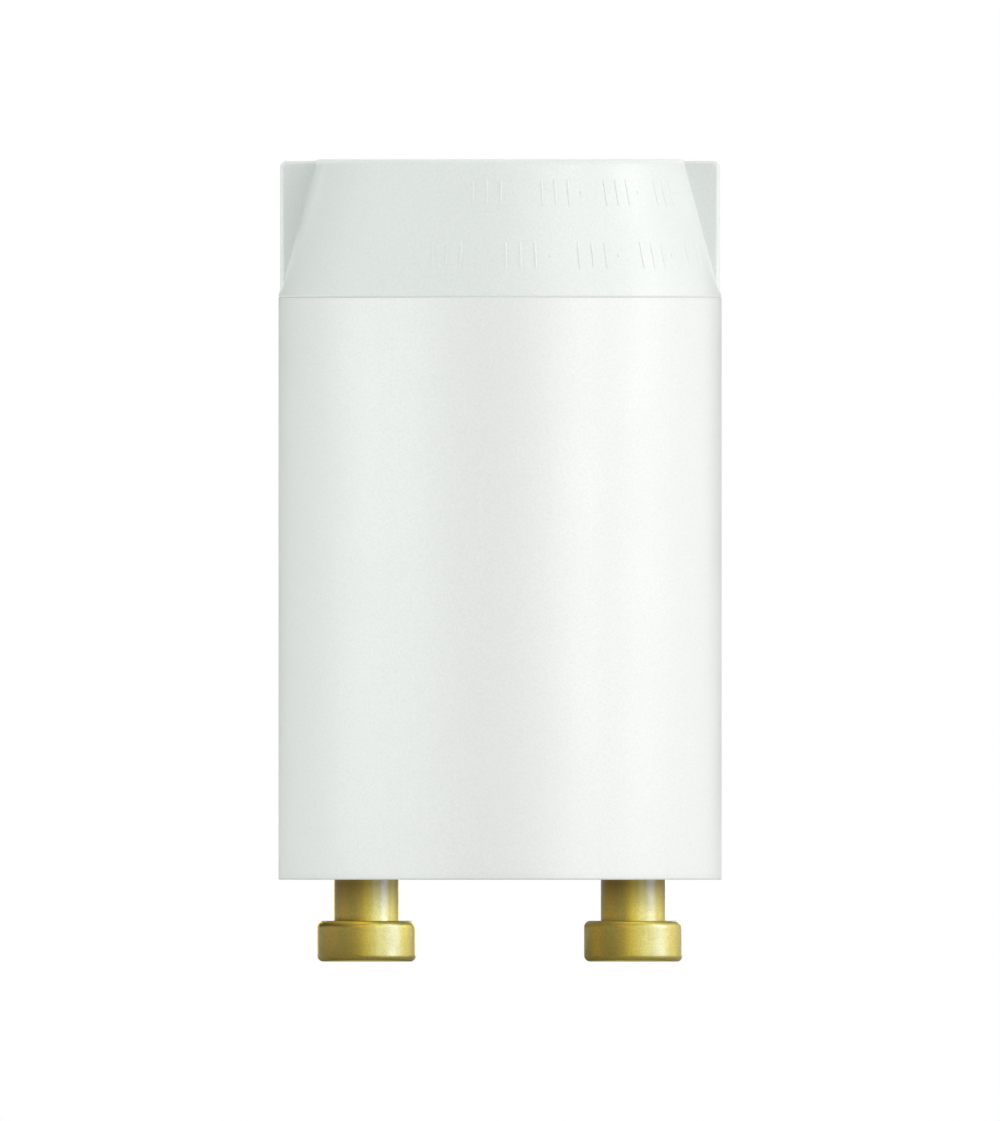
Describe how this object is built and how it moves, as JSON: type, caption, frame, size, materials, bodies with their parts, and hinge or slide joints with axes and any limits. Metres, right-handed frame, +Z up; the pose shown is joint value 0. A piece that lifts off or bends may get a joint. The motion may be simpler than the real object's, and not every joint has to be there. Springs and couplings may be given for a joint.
{
  "type": "fluorescent starter",
  "caption": "White moulded can with a coned cap and twist fins on brass contact pins, holding a glow switch bulb and a capacitor for starting a fluorescent lamp.",
  "frame": {"origin": "midway between the contact pins, on the plane that their heads stand on", "axes": "+Z up the axis of the can towards the cap, X through both contact pins, and the front towards -Y"},
  "size_m": [0.021, 0.021, 0.0382],
  "materials": {
    "housing_white": "satin moulded",
    "base_white": "satin moulded",
    "pin_brass": "turned",
    "bulb_glass": "clear blown",
    "stem_glass": "pressed",
    "lead_wire": "drawn",
    "bimetal": "rolled",
    "electrode_nickel": "rolled",
    "capacitor_resin": "dipped resin",
    "tinned_wire": "tinned",
    "solder": "flowed"
  },
  "bodies": {
    "root": {"housing": "housing_white", "base_disc": "base_white", "contact_pin_left": "pin_brass", "contact_pin_right": "pin_brass", "glow_bulb_envelope": "bulb_glass", "glow_bulb_stem": "stem_glass", "bulb_lead_left": "lead_wire", "bulb_lead_right": "lead_wire", "bimetal_strip": "bimetal", "fixed_electrode": "electrode_nickel", "capacitor": "capacitor_resin", "capacitor_lead_left": "tinned_wire", "capacitor_lead_right": "tinned_wire", "solder_left": "solder", "solder_right": "solder"}
  },
  "joints": []
}
